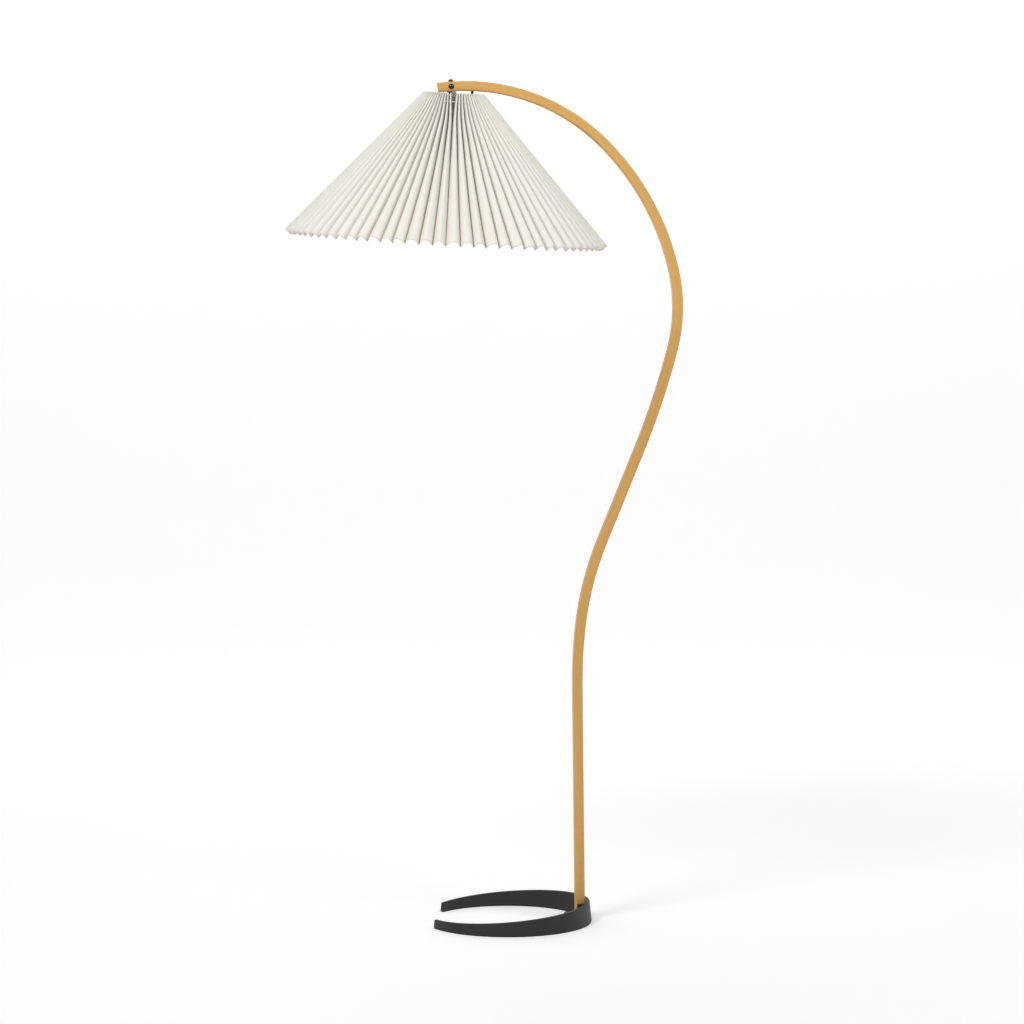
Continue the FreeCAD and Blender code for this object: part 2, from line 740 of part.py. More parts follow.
def flex_route():
    """The S of flex from the arm to the holder's bush, in the lamp's frame."""
    _, _, _, start = lead_route()
    tilt = math.radians(HEAD_TILT)
    away_x, away_z = start[0] - PIVOT[0], start[1] - PIVOT[1]
    own_x = away_x * math.cos(tilt) - away_z * math.sin(tilt)
    own_drop = -(away_x * math.sin(tilt) + away_z * math.cos(tilt))
    sideways = own_x - (HEAD_OFFSET + BUSH_REACH)
    down = bush_top() - own_drop - LEAD_JOINT
    radius = FLEX_R
    turn = math.degrees(math.acos(1.0 - sideways / (2.0 * radius)))
    spare = (down - 2.0 * radius * math.sin(math.radians(turn))) / 2.0
    print("flex: bend radius", radius, "turn", round(turn, 1), "straight ends", round(spare, 2))
    route = [("line", spare), ("arc", radius, -turn), ("arc", radius, turn), ("line", spare)]
    edges, _, _ = path_edges(route, start, 270.0 - HEAD_TILT)
    return edges


def head_flex():
    return tube_along(flex_route(), LEAD_DIA / 2.0)


# ---- shade, in the head's frame

def slope_parts():
    """Unit direction down the shade's slope, as (radius, drop)."""
    run = SHADE_BOTTOM_R - SHADE_TOP_R
    length = math.hypot(run, SHADE_HEIGHT)
    return run / length, SHADE_HEIGHT / length


def shade_inside():
    """The pleats' inner folds, as two (radius, drop) points: top and bottom."""
    out, down = slope_parts()
    top = (SHADE_TOP_R - PLEAT_TOP * down, SHADE_DROP + PLEAT_TOP * out)
    bottom_drop = SHADE_DROP + SHADE_HEIGHT
    bottom = (SHADE_BOTTOM_R - PLEAT_BOTTOM * down, bottom_drop + PLEAT_BOTTOM * out)
    return top, bottom


def inside_radius(drop):
    top, bottom = shade_inside()
    share = (drop - top[1]) / (bottom[1] - top[1])
    return top[0] + share * (bottom[0] - top[0])


def shade_cover():
    """Closed cone of the depth that the pleats take up."""
    top, bottom = shade_inside()
    outside_top = (SHADE_TOP_R, SHADE_DROP)
    outside_bottom = (SHADE_BOTTOM_R, SHADE_DROP + SHADE_HEIGHT)
    return turned([outside_top, outside_bottom, bottom, top])


GALLERY_TOP = SHOULDER_BASE + GALLERY_GAP
GALLERY_BASE = GALLERY_TOP + GALLERY_THICK


def wire_ring(radius, wire, drop):
    return Part.makeTorus(radius, wire, Vector(HEAD_OFFSET, 0, -drop), UP)


def shade_carrier():
    """Washer under the holder's shoulder, with spokes to the ring that bears the cloth."""
    level = (GALLERY_TOP + GALLERY_BASE) / 2.0
    _, down = slope_parts()
    reach = inside_radius(level) - (WIRE_R + SHADE_CLEAR) / down
    shape = ring(GALLERY_R, HOLDER_R + GALLERY_GAP, GALLERY_TOP, GALLERY_BASE)
    pieces = [wire_ring(reach, WIRE_R, level)]
    root = RING_NUT_R + 2.0 * TURN_GAP
    for i in range(SPOKES):
        start = Vector(root, 0, -level)
        spoke = Part.makeCylinder(SPOKE_R, reach - root, start, Vector(1, 0, 0))
        spoke.rotate(Vector(0, 0, -level), UP, 360.0 * i / SPOKES + 60.0)
        spoke.translate(Vector(HEAD_OFFSET, 0, 0))
        pieces.append(spoke)
    return shape.multiFuse(pieces)


def shade_string():
    """Cord that ties the pleats together inside the top of the shade."""
    drop = SHADE_DROP + STRING_BELOW_RIM
    _, down = slope_parts()
    reach = inside_radius(drop) - (STRING_R + SHADE_CLEAR) / down
    return wire_ring(reach, STRING_R, drop)


def shade_ring_nut():
    """Notched ring nut on the holder's thread, under the carrier."""
    top = GALLERY_BASE + TURN_GAP
    base = top + RING_NUT_THICK
    shape = ring(RING_NUT_R, HOLDER_R + RING_NUT_FIT, top, base)
    for i in range(RING_NUT_NOTCHES):
        angle = 2.0 * math.pi * i / RING_NUT_NOTCHES
        x = HEAD_OFFSET + RING_NUT_R * math.cos(angle)
        y = RING_NUT_R * math.sin(angle)
        shape = shape.cut(Part.makeCylinder(NOTCH_R, base, Vector(x, y, -base - 1.0), UP))
    return shape


# ---- bulb, in the head's frame

BULB_TIP = BLOCK_BASE + CONTACT_THICK + BULB_SEAT
BULB_CAP_TOP = BULB_TIP + BULB_NUB
BULB_CAP_BASE = BULB_CAP_TOP + BULB_CAP_LENGTH


def place(radius, drop):
    """A point beside the head's axis."""
    return Vector(HEAD_OFFSET + radius, 0, -drop)


def bulb_body(inset):
    """Envelope of the glass: a neck that runs at a tangent into a ball."""
    radius = BULB_R - inset
    centre = BULB_TIP + BULB_LENGTH - BULB_R
    neck = BULB_CAP_BASE + BULB_NECK
    neck_r = BULB_NECK_R - inset
    distance = math.hypot(neck_r, centre - neck)
    angle = math.atan2(neck_r, centre - neck) + math.acos(radius / distance)
    touch = (radius * math.sin(angle), centre - radius * math.cos(angle))
    middle = (angle + math.pi) / 2.0
    side = (radius * math.sin(middle), centre - radius * math.cos(middle))
    top_r = BULB_CAP_R - BULB_CAP_WALL - inset
    edges = [
        Part.LineSegment(place(0, BULB_CAP_BASE - 2.0), place(top_r, BULB_CAP_BASE - 2.0)),
        Part.LineSegment(place(top_r, BULB_CAP_BASE - 2.0), place(top_r, BULB_CAP_BASE)),
        Part.LineSegment(place(top_r, BULB_CAP_BASE), place(neck_r, neck)),
        Part.LineSegment(place(neck_r, neck), place(*touch)),
        Part.Arc(place(*touch), place(*side), place(0, centre + radius)),
        Part.LineSegment(place(0, centre + radius), place(0, BULB_CAP_BASE - 2.0)),
    ]
    face = Part.Face(Part.Wire([e.toShape() for e in edges]))
    return face.revolve(Vector(HEAD_OFFSET, 0, 0), UP, 360)


def bulb_glass():
    return bulb_body(0.0).cut(bulb_body(BULB_WALL))


def bulb_cap():
    """Thin metal screw cap, open towards the glass."""
    shape = drum(BULB_CAP_R, BULB_CAP_TOP, BULB_CAP_BASE)
    shape = shape.cut(drum(BULB_CAP_R - BULB_CAP_WALL, BULB_CAP_TOP + 1.0, BULB_CAP_BASE + 1.0))
    return shape.cut(drum(BULB_NUB_R + 1.5, BULB_CAP_TOP - 1.0, BULB_CAP_TOP + 2.0))


def bulb_contact():
    """Centre contact in its insulating button."""
    button = drum(BULB_NUB_R + 1.5, BULB_CAP_TOP - 0.5, BULB_CAP_TOP + 1.0)
    return button.fuse(drum(BULB_NUB_R, BULB_TIP, BULB_CAP_TOP)).removeSplitter()


def main():
    os.makedirs("parts", exist_ok=True)
    save("base_casting", base_casting())
    save("base_sole", base_sole())
    save("foot_screws", foot_screws())
    save("foot_inserts", foot_inserts())
    save("inlet_grommet", inlet_grommet())
    save("stem", stem())
    save("groove_strip", groove_strip())
    save("stem_lead", stem_lead())
    save("clamp_bolt", at_pivot(clamp_bolt()))
    save("clamp_washer", at_pivot(clamp_washer()))
    save("clamp_knob", at_pivot(clamp_knob()))
    save("clamp_knob_insert", at_pivot(knob_insert()))
    save("hanger_tongue", hung(hanger_tongue()))
    save("hanger_tube", hung(hanger_tube()))
    save("tube_nuts", hung(tube_nuts()))
    save("holder_cap", hung(holder_cap()))
    save("holder_bush", hung(holder_bush()))
    save("holder_body", hung(holder_body()))
    save("holder_block", hung(holder_block()))
    save("holder_shell", hung(holder_shell()))
    save("holder_contact", hung(holder_contact()))
    save("head_flex", head_flex())
    save("shade_carrier", hung(shade_carrier()))
    save("shade_string", hung(shade_string()))
    save("shade_cover", hung(shade_cover()))
    save("shade_ring_nut", hung(shade_ring_nut()))
    save("bulb_glass", hung(bulb_glass()))
    save("bulb_cap", hung(bulb_cap()))
    save("bulb_contact", hung(bulb_contact()))
    print("pivot", [round(v, 2) for v in PIVOT], "arm heading", round(ARM_HEADING, 2))


main()
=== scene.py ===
import bpy
import json
import math
import numpy as np
from mathutils import Matrix, Vector
from mathutils.noise import noise


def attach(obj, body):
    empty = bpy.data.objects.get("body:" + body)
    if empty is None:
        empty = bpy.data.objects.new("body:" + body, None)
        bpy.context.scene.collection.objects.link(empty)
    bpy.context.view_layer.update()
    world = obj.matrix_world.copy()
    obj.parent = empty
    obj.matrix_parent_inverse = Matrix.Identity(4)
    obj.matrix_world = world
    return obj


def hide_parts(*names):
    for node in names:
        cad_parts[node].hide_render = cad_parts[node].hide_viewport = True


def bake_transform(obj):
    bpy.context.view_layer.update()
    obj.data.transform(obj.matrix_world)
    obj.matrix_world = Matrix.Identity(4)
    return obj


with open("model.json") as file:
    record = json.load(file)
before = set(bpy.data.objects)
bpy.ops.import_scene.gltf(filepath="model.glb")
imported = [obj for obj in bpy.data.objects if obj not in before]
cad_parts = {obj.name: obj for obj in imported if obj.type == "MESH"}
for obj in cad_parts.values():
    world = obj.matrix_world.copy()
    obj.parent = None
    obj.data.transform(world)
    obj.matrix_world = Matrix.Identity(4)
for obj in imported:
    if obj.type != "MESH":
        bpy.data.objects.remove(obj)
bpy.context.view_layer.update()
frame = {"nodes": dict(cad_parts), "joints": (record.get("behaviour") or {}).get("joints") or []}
nodes = frame["nodes"]


# The camera stands well back and a little above the lamp's shoulder, turned four degrees
# round the lamp and tipped down to the floor, with a long lens.
camera_data = bpy.data.cameras.new("camera")
camera_data.lens = 144.6
camera_data.sensor_width = 36.0
camera_data.clip_end = 60.0
camera = bpy.data.objects.new("camera", camera_data)
camera.location = (-0.655, -7.573, 1.498)
camera.rotation_euler = (math.radians(90.0 - 5.486), 0.0, math.radians(-4.0))
bpy.context.scene.collection.objects.link(camera)
bpy.context.scene.camera = camera
bpy.context.scene.view_settings.view_transform = "Standard"


# The studio: one white sheet for the floor that sweeps up behind the lamp and is clear
# from its back, a white sky, and two large soft lights, the stronger high on the left.
def link_mesh(name, vertices, faces, smooth=True):
    mesh = bpy.data.meshes.new(name)
    mesh.from_pydata(vertices, [], faces)
    mesh.polygons.foreach_set("use_smooth", [smooth] * len(mesh.polygons))
    mesh.update()
    piece = bpy.data.objects.new(name, mesh)
    bpy.context.scene.collection.objects.link(piece)
    return piece


def plain_material(name, color, roughness, metallic=0.0):
    """A material with its Principled shader, ready for nodes to feed it."""
    material = bpy.data.materials.new(name)
    material.use_nodes = True
    shader = material.node_tree.nodes["Principled BSDF"]
    shader.inputs["Base Color"].default_value = (*color, 1.0)
    shader.inputs["Roughness"].default_value = roughness
    shader.inputs["Metallic"].default_value = metallic
    return material, shader


def wear(piece, material):
    """Puts one material in every slot of a piece."""
    if not piece.material_slots:
        piece.data.materials.append(material)
    for material_slot in piece.material_slots:
        material_slot.material = material


sweep_profile = [(-9.0, 0.0), (3.0, 0.0)]
sweep_profile += [
    (3.0 + 1.5 * math.sin(a), 1.5 - 1.5 * math.cos(a))
    for a in np.linspace(math.pi / 16, math.pi / 2, 8)
]
sweep_profile.append((4.5, 7.0))
sweep_points = [(x, y, z) for y, z in sweep_profile for x in (-9.0, 9.0)]
sweep_faces = [(2 * i, 2 * i + 1, 2 * i + 3, 2 * i + 2) for i in range(len(sweep_profile) - 1)]
floor = link_mesh("studio_floor", sweep_points, sweep_faces)
floor_material, floor_shader = plain_material("studio_white", (0.80, 0.803, 0.803), 0.9)
floor_tree = floor_material.node_tree
floor_place = floor_tree.nodes.new("ShaderNodeTexCoord")
floor_spread = floor_tree.nodes.new("ShaderNodeMapping")
floor_spread.inputs["Location"].default_value = (0.0, 0.8, 0.0)
floor_spread.inputs["Scale"].default_value = (0.6, 1.0, 0.0)
floor_tree.links.new(floor_place.outputs["Object"], floor_spread.inputs["Vector"])
floor_away = floor_tree.nodes.new("ShaderNodeVectorMath")
floor_away.operation = "LENGTH"
floor_tree.links.new(floor_spread.outputs["Vector"], floor_away.inputs[0])
floor_glow = floor_tree.nodes.new("ShaderNodeMapRange")
floor_glow.inputs["From Max"].default_value = 2.6
floor_glow.inputs["To Min"].default_value = 0.28
floor_glow.inputs["To Max"].default_value = 0.50
floor_tree.links.new(floor_away.outputs["Value"], floor_glow.inputs["Value"])
floor_tree.links.new(floor_glow.outputs["Result"], floor_shader.inputs["Emission Strength"])
floor_shader.inputs["Emission Color"].default_value = (1.0, 1.0, 1.0, 1.0)
floor_side = floor_tree.nodes.new("ShaderNodeNewGeometry")
floor_clear = floor_tree.nodes.new("ShaderNodeBsdfTransparent")
floor_mix = floor_tree.nodes.new("ShaderNodeMixShader")
floor_tree.links.new(floor_side.outputs["Backfacing"], floor_mix.inputs["Fac"])
floor_tree.links.new(floor_shader.outputs["BSDF"], floor_mix.inputs[1])
floor_tree.links.new(floor_clear.outputs["BSDF"], floor_mix.inputs[2])
floor_tree.links.new(floor_mix.outputs["Shader"], floor_tree.nodes["Material Output"].inputs["Surface"])
wear(floor, floor_material)

sky = bpy.data.worlds.new("white_sky")
sky.use_nodes = True
sky.node_tree.nodes["Background"].inputs["Color"].default_value = (1.0, 1.0, 1.0, 1.0)
sky_ray = sky.node_tree.nodes.new("ShaderNodeLightPath")
sky_level = sky.node_tree.nodes.new("ShaderNodeMapRange")
sky_level.inputs["To Min"].default_value = 0.30
sky_level.inputs["To Max"].default_value = 0.96
sky.node_tree.links.new(sky_ray.outputs["Is Camera Ray"], sky_level.inputs["Value"])
sky.node_tree.links.new(sky_level.outputs["Result"], sky.node_tree.nodes["Background"].inputs["Strength"])
bpy.context.scene.world = sky


def soft_light(name, place, target, size, watts):
    data = bpy.data.lights.new(name, "AREA")
    data.shape = "DISK"
    data.size = size
    data.energy = watts
    lamp = bpy.data.objects.new(name, data)
    lamp.location = place
    lamp.rotation_euler = (Vector(target) - Vector(place)).to_track_quat("-Z", "Y").to_euler()
    bpy.context.scene.collection.objects.link(lamp)


soft_light("key_left", (-1.3, -1.5, 2.7), (-0.1, 0.0, 1.3), 1.0, 30.5)
soft_light("fill_right", (1.7, -1.7, 2.8), (0.0, 0.0, 1.3), 1.3, 27.5)


# Shared surface effects. Speckle is a fine grain with broad cloudy variation, which
# cast, moulded and rubber surfaces have at different scales and strengths.
def node_group(name, inputs, outputs):
    group = bpy.data.node_groups.new(name, "ShaderNodeTree")
    for label, kind, value in inputs:
        socket = group.interface.new_socket(label, in_out="INPUT", socket_type=kind)
        if value is not None:
            socket.default_value = value
    for label, kind in outputs:
        group.interface.new_socket(label, in_out="OUTPUT", socket_type=kind)
    entry = group.nodes.new("NodeGroupInput")
    leave = group.nodes.new("NodeGroupOutput")
    return group, entry.outputs, leave.inputs


def math_node(tree, operation, a, b=None, c=None):
    """A Math node; each of a, b and c is a socket or a number."""
    step = tree.nodes.new("ShaderNodeMath")
    step.operation = operation
    for index, value in enumerate((a, b, c)):
        if value is None:
            continue
        if isinstance(value, (int, float)):
            step.inputs[index].default_value = value
        else:
            tree.links.new(value, step.inputs[index])
    return step.outputs[0]


def noise_node(tree, place, scale, detail=2.0, rough=0.5):
    texture = tree.nodes.new("ShaderNodeTexNoise")
    texture.inputs["Detail"].default_value = detail
    texture.inputs["Roughness"].default_value = rough
    if isinstance(scale, (int, float)):
        texture.inputs["Scale"].default_value = scale
    else:
        tree.links.new(scale, texture.inputs["Scale"])
    tree.links.new(place, texture.inputs["Vector"])
    return texture.outputs["Fac"]


def mix_node(tree, share, first, second):
    """A colour mix; first and second are sockets or RGB values."""
    mix = tree.nodes.new("ShaderNodeMix")
    mix.data_type = "RGBA"
    tree.links.new(share, mix.inputs["Factor"])
    for label, value in (("A", first), ("B", second)):
        socket = [s for s in mix.inputs if s.name == label and s.type == "RGBA"][0]
        if isinstance(value, tuple):
            socket.default_value = (*value, 1.0)
        else:
            tree.links.new(value, socket)
    return [s for s in mix.outputs if s.type == "RGBA"][0]


def speckle_group():
    group, given, result = node_group(
        "speckle",
        [("Place", "NodeSocketVector", None), ("Grain", "NodeSocketFloat", 900.0),
         ("Cloud", "NodeSocketFloat", 30.0)],
        [("Fine", "NodeSocketFloat"), ("Broad", "NodeSocketFloat")],
    )
    fine = noise_node(group, given["Place"], given["Grain"], 3.0, 0.6)
    broad = noise_node(group, given["Place"], given["Cloud"], 2.0, 0.5)
    group.links.new(fine, result["Fine"])
    group.links.new(broad, result["Broad"])
    return group


SPECKLE = speckle_group()


def speckled(name, dark, light, roughness, spread, grain, cloud, bump, metallic=0.0):
    """A moulded, cast or rubber finish: two near colours, varied gloss and a fine skin."""
    material, shader = plain_material(name, light, roughness, metallic)
    tree = material.node_tree
    place = tree.nodes.new("ShaderNodeTexCoord").outputs["Object"]
    effect = tree.nodes.new("ShaderNodeGroup")
    effect.node_tree = SPECKLE
    effect.inputs["Grain"].default_value = grain
    effect.inputs["Cloud"].default_value = cloud
    tree.links.new(place, effect.inputs["Place"])
    share = math_node(tree, "MULTIPLY_ADD", effect.outputs["Fine"], 0.6, -0.1)
    share = math_node(tree, "MULTIPLY_ADD", effect.outputs["Broad"], 0.6, share)
    tree.links.new(mix_node(tree, share, dark, light), shader.inputs["Base Color"])
    gloss = math_node(tree, "MULTIPLY_ADD", effect.outputs["Broad"], spread, roughness - spread / 2)
    tree.links.new(gloss, shader.inputs["Roughness"])
    skin = tree.nodes.new("ShaderNodeBump")
    skin.inputs["Strength"].default_value = 0.5
    skin.inputs["Distance"].default_value = bump
    tree.links.new(effect.outputs["Fine"], skin.inputs["Height"])
    tree.links.new(skin.outputs["Normal"], shader.inputs["Normal"])
    return material, shader


# The base: a crescent of sand-cast iron under a thin coat of black paint, which keeps
# the fine orange-peel of the casting.
cast_iron, _ = speckled(
    "black_cast_iron", (0.0115, 0.0105, 0.0115), (0.0235, 0.0225, 0.0235), 0.56, 0.16, 700.0, 18.0, 0.0004
)
wear(nodes["base_casting"], cast_iron)


# The sole: black needle felt glued under the casting, so that the iron doesn't mark
# the floor.
felt, _ = speckled(
    "black_felt", (0.010, 0.010, 0.011), (0.035, 0.034, 0.034), 0.95, 0.05, 2600.0, 90.0, 0.0006
)
wear(nodes["base_sole"], felt)


# The inlet grommet and the bush in the lampholder's cap: soft black rubber with a dull
# skin.
rubber, _ = speckled(
    "black_rubber", (0.014, 0.014, 0.014), (0.026, 0.026, 0.025), 0.68, 0.14, 1600.0, 60.0, 0.0001
)
for name in ("inlet_grommet", "holder_bush"):
    wear(nodes[name], rubber)


# Metal finishes share one effect: fine tool lines round a turned piece, or along a drawn
# one, over a faint cloudiness.
def lined_metal(name, dark, light, roughness, stretch, metallic=1.0):
    """Metal with fine tool lines. stretch scales the place in X, Y and Z."""
    material, shader = plain_material(name, light, roughness, metallic)
    tree = material.node_tree
    place = tree.nodes.new("ShaderNodeTexCoord").outputs["Object"]
    scaled = tree.nodes.new("ShaderNodeMapping")
    scaled.inputs["Scale"].default_value = stretch
    tree.links.new(place, scaled.inputs["Vector"])
    lines = noise_node(tree, scaled.outputs["Vector"], 1.0, 4.0, 0.6)
    cloud = noise_node(tree, place, 60.0, 2.0, 0.5)
    share = math_node(tree, "MULTIPLY_ADD", cloud, 0.5, -0.2)
    share = math_node(tree, "MULTIPLY_ADD", lines, 0.8, share)
    tree.links.new(mix_node(tree, share, dark, light), shader.inputs["Base Color"])
    gloss = math_node(tree, "MULTIPLY_ADD", lines, 0.22, roughness - 0.08)
    tree.links.new(gloss, shader.inputs["Roughness"])
    skin = tree.nodes.new("ShaderNodeBump")
    skin.inputs["Strength"].default_value = 0.35
    skin.inputs["Distance"].default_value = 0.00008
    tree.links.new(lines, skin.inputs["Height"])
    tree.links.new(skin.outputs["Normal"], shader.inputs["Normal"])
    return material


# The hanger: a drawn steel tube with a flat tongue brazed into its top, and two turned
# lock nuts that clamp the lampholder. All of it is left bright.
drawn_steel = lined_metal(
    "drawn_steel", (0.74, 0.73, 0.71), (0.92, 0.91, 0.89), 0.15, (150.0, 150.0, 3500.0)
)
for name in ("hanger_tube", "tube_nuts", "hanger_tongue"):
    wear(nodes[name], drawn_steel)


# The washer: pressed from steel strip, and loose on the bolt between the arm and the
# knob.
washer_steel = lined_metal(
    "washer_steel", (0.38, 0.38, 0.39), (0.66, 0.66, 0.66), 0.30, (2500.0, 200.0, 2500.0)
)
wear(nodes["clamp_washer"], washer_steel)


# The foot screws: two button heads of blackened steel, driven through the closed end of
# the base into the stem.
screw_steel = lined_metal(
    "blackened_screw_steel", (0.030, 0.030, 0.032), (0.075, 0.075, 0.080), 0.35,
    (200.0, 2500.0, 2500.0),
)
wear(nodes["foot_screws"], screw_steel)


# The inserts and the lampholder's contact: turned brass, screwed into the wood, moulded
# into the knob and riveted to the block.
brass = lined_metal(
    "turned_brass", (0.52, 0.36, 0.13), (0.78, 0.58, 0.27), 0.28, (400.0, 400.0, 2600.0)
)
for name in ("foot_inserts", "clamp_knob_insert", "holder_contact"):
    wear(nodes[name], brass)


# The clamp: a cup-headed bolt, blackened and glossy, through the arm, and a moulded
# two-winged knob on its far end.
bolt_black, bolt_shader = speckled(
    "glossy_black_bolt", (0.005, 0.005, 0.006), (0.010, 0.010, 0.012), 0.14, 0.08, 900.0, 80.0, 0.00003
)
bolt_shader.inputs["Coat Weight"].default_value = 0.6
bolt_shader.inputs["Coat Roughness"].default_value = 0.08
wear(nodes["clamp_bolt"], bolt_black)
knob_black, _ = speckled(
    "moulded_black_knob", (0.030, 0.026, 0.023), (0.052, 0.046, 0.041), 0.42, 0.12, 1400.0, 70.0, 0.0001
)
wear(nodes["clamp_knob"], knob_black)


# The stem: one lath of pale wood, steamed and bent, with its grain running along every
# curve, and waxed. Its grain is laid out from the same runs and bends as the lath.
stem_runs = [
    (0.436, 0.0), (0.940, -6.4), (0.610, -16.35), (0.1805, 0.0), (1.500, 7.45),
    (0.3125, 27.75), (0.482, 31.8), (0.362, 48.55), (0.030, 0.0),
]
stem_lean = 0.7
stem_foot = Vector((0.0018, 0.006))


def stem_centreline(step=0.004):
    """Points along the middle of the lath, with their headings and distances."""
    points, headings, along = [stem_foot.copy()], [90.0 + stem_lean], [0.0]
    for size, turn in stem_runs:
        length = size if turn == 0.0 else size * math.radians(abs(turn))
        count = max(2, round(length / step))
        for _ in range(count):
            angle = math.radians(headings[-1] + turn / count / 2.0)
            ahead = Vector((math.cos(angle), math.sin(angle))) * (length / count)
            points.append(points[-1] + ahead)
            headings.append(headings[-1] + turn / count)
            along.append(along[-1] + length / count)
    return np.array(points), np.radians(np.array(headings)), np.array(along)


def follow_grain(piece):
    """Stores at each vertex its place along, across and through the lath."""
    points, headings, along = stem_centreline()
    place = np.array([v.co for v in piece.data.vertices])
    flat = place[:, [0, 2]]
    nearest = np.array([np.argmin(((points - p) ** 2).sum(1)) for p in flat])
    away = flat - points[nearest]
    ahead = np.stack([np.cos(headings), np.sin(headings)], axis=1)[nearest]
    left = np.stack([-ahead[:, 1], ahead[:, 0]], axis=1)
    grain = np.stack(
        [along[nearest] + (away * ahead).sum(1), (away * left).sum(1), place[:, 1]], axis=1
    )
    layer = piece.data.attributes.new("grain", "FLOAT_VECTOR", "POINT")
    layer.data.foreach_set("vector", grain.astype(np.float32).ravel())


def copy_of(node, name):
    """A piece with a CAD node's own shape, which can carry more on its mesh."""
    piece = bpy.data.objects.new(name, nodes[node].data.copy())
    bpy.context.scene.collection.objects.link(piece)
    return piece


wood, wood_shader = plain_material("waxed_bent_wood", (0.60, 0.36, 0.13), 0.42)
wood_shader.inputs["Specular IOR Level"].default_value = 0.3
wood_tree = wood.node_tree
wood_place = wood_tree.nodes.new("ShaderNodeAttribute")
wood_place.attribute_name = "grain"


def stretched(tree, vector, scale):
    mapping = tree.nodes.new("ShaderNodeMapping")
    mapping.inputs["Scale"].default_value = scale
    tree.links.new(vector, mapping.inputs["Vector"])
    return mapping.outputs["Vector"]


lath_place = wood_place.outputs["Vector"]
line_place = stretched(wood_tree, lath_place, (7.0, 420.0, 420.0))
band_place = stretched(wood_tree, lath_place, (2.2, 90.0, 90.0))
fleck_place = stretched(wood_tree, lath_place, (90.0, 2400.0, 2400.0))
grain_lines = noise_node(wood_tree, line_place, 1.0, 5.0, 0.62)
grain_bands = noise_node(wood_tree, band_place, 1.0, 2.0, 0.5)
grain_flecks = noise_node(wood_tree, fleck_place, 1.0, 1.0, 0.5)
wood_share = math_node(wood_tree, "MULTIPLY_ADD", grain_lines, 0.9, -0.2)
wood_share = math_node(wood_tree, "MULTIPLY_ADD", grain_bands, 0.7, wood_share)
wood_color = mix_node(wood_tree, wood_share, (0.535, 0.275, 0.063), (0.735, 0.435, 0.130))
fleck_share = math_node(wood_tree, "GREATER_THAN", grain_flecks, 0.64)
fleck_share = math_node(wood_tree, "MULTIPLY", fleck_share, 0.35)
wood_color = mix_node(wood_tree, fleck_share, wood_color, (0.36, 0.18, 0.05))
wood_tree.links.new(wood_color, wood_shader.inputs["Base Color"])
wood_gloss = math_node(wood_tree, "MULTIPLY_ADD", grain_lines, 0.2, 0.32)
wood_tree.links.new(wood_gloss, wood_shader.inputs["Roughness"])
wood_skin = wood_tree.nodes.new("ShaderNodeBump")
wood_skin.inputs["Strength"].default_value = 0.4
wood_skin.inputs["Distance"].default_value = 0.00015
wood_tree.links.new(grain_lines, wood_skin.inputs["Height"])
wood_tree.links.new(wood_skin.outputs["Normal"], wood_shader.inputs["Normal"])

for node, name in (("stem", "bent_stem"), ("groove_strip", "groove_fillet")):
    piece = copy_of(node, name)
    follow_grain(piece)
    wear(piece, wood)
    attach(piece, "stand")
    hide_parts(node)


# The shade's frame of reference: its axis, and the four corners of its wall, taken from
# the hinge it turns on and from the plain cone that the pleats fill.
turn_joint = [j for j in frame["joints"] if j["name"] == "shade_turn"][0]
head_axis = Vector(turn_joint["axis"]).normalized()
head_place = Vector(turn_joint["pos_m"])
head_turn = Matrix.Rotation(math.atan2(head_axis.x, head_axis.z), 4, "Y")
head_frame = Matrix.Translation(head_place) @ head_turn


def cone_corners():
    """(radius, height) of the wall's corners, along the shade's axis."""
    place = np.array([v.co for v in nodes["shade_cover"].data.vertices]) - np.array(head_place)
    height = place @ np.array(head_axis)
    radius = np.linalg.norm(place - height[:, None] * np.array(head_axis), axis=1)
    order = [height.argmax(), radius.argmax(), height.argmin(), radius.argmin()]
    return [np.array((radius[i], height[i])) for i in order]


ridge_top, ridge_bottom, fold_bottom, fold_top = cone_corners()


# The lead: a round black flex in a soft sheath. It lies in the stem's groove, comes out
# under the arm, and goes through a rubber bush into the lampholder's cap.
lead_black, _ = speckled(
    "black_flex", (0.012, 0.012, 0.013), (0.022, 0.022, 0.023), 0.42, 0.12, 1200.0, 50.0, 0.00006
)
wear(nodes["stem_lead"], lead_black)
flex = copy_of("head_flex", "flex_to_holder")
wear(flex, lead_black)
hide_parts("head_flex")
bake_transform(flex)


# The shade: one long sheet of ivory cloth laminated to a stiff backing, pressed into
# accordion pleats with sharp inner folds and soft outer ones, and closed in a cone. Its
# two ends meet on the near side, and stand apart at the top.
pleats = 75
steps_across = 14
rows_down = 48
seam_angle = math.radians(-93.2)
seam_gap = 0.072
seam_gap_ends = 0.20
seam_edge = 0.0008
hold_at_top = 0.35
panel_wave = 0.04
# Painted shade: the inner folds within a few pleats of the seam are painted dark towards the top, for the
# shade that falls deep in them.
painted_shade_folds = 6.0
painted_shade_reach = 0.45
painted_shade_depth = 1.6
cloth_thickness = 0.00045
rng = np.random.default_rng(11)
fold_shift = rng.normal(0.0, 0.055, pleats + 1)
fold_shift[[0, -1]] = 0.0
fold_depth = 1.0 - np.abs(rng.normal(0.0, 0.05, pleats + 1)).clip(0, 0.14)
ridge_lean = rng.normal(0.0, 0.17, pleats).clip(-0.38, 0.38)
ridge_sink = np.abs(rng.normal(0.0, 0.03, pleats)).clip(0, 0.08)
ridge_round = rng.uniform(1.7, 2.6, pleats)


